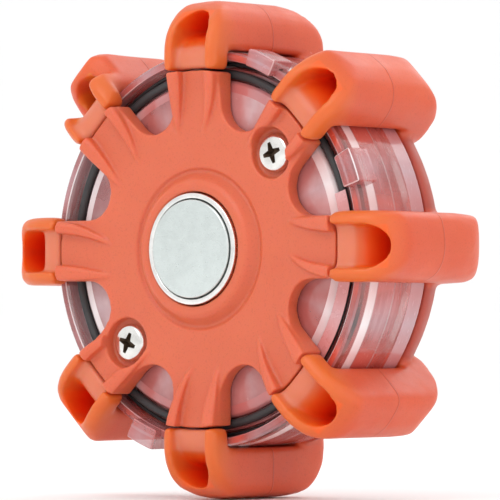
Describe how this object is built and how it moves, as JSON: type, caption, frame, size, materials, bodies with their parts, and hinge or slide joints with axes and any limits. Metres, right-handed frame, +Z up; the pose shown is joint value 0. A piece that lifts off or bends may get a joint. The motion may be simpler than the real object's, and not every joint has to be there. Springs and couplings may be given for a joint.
{
  "type": "led safety flare",
  "caption": "Round LED safety flare: lugged bumper cage with a hook lug, star-shaped rear cover with a round magnet, clear lens and housing, push button.",
  "frame": {"origin": "centre of the bounding box's underside, with the disc standing on its six o'clock lug", "axes": "+Z up, -Y out of the magnet face at the back, +Y out of the lamp face, +X to the right seen from the back"},
  "size_m": [0.104, 0.0388, 0.104],
  "materials": {
    "bumper": "satin",
    "cover": "satin",
    "steel": "polished",
    "magnet": "satin",
    "screw": "polished",
    "clear_housing": "clear, lightly frosted",
    "clear_lens": "clear, lightly frosted",
    "seal": "matte",
    "diffuser": "satin",
    "board": "satin",
    "rim_led": "clear red",
    "torch_led": "milky",
    "switch_body": "satin",
    "switch_plunger": "matte",
    "button": "matte",
    "cell": "satin",
    "tray": "matte",
    "contact": "satin"
  },
  "bodies": {
    "flare": {"bumper_cage": "bumper", "rear_cover": "cover", "magnet_cup": "steel", "magnet_disc": "magnet", "rear_screw_1": "screw", "rear_screw_2": "screw", "rear_housing": "clear_housing", "seal_ring": "seal", "groove_gasket": "seal", "front_lens": "clear_lens", "diffuser_ring": "diffuser", "circuit_board": "board", "rim_led_01": "rim_led", "rim_led_02": "rim_led", "rim_led_03": "rim_led", "rim_led_04": "rim_led", "rim_led_05": "rim_led", "rim_led_06": "rim_led", "rim_led_07": "rim_led", "rim_led_08": "rim_led", "rim_led_09": "rim_led", "rim_led_10": "rim_led", "rim_led_11": "rim_led", "rim_led_12": "rim_led", "torch_led_1": "torch_led", "torch_led_2": "torch_led", "torch_led_3": "torch_led", "torch_led_4": "torch_led", "switch_body": "switch_body", "battery_1": "cell", "battery_2": "cell", "battery_3": "cell", "battery_tray": "tray", "contact_plate_1": "contact", "contact_plate_2": "contact", "contact_plate_3": "contact", "contact_plate_4": "contact"},
    "button": {"power_button": "button", "switch_plunger": "switch_plunger"}
  },
  "joints": [
    {"name": "button_press", "type": "slide", "parent": "flare", "child": "button", "axis": [0, -1, 0], "range_m": [0, 0.001], "stiffness_N_per_m": 1500}
  ]
}
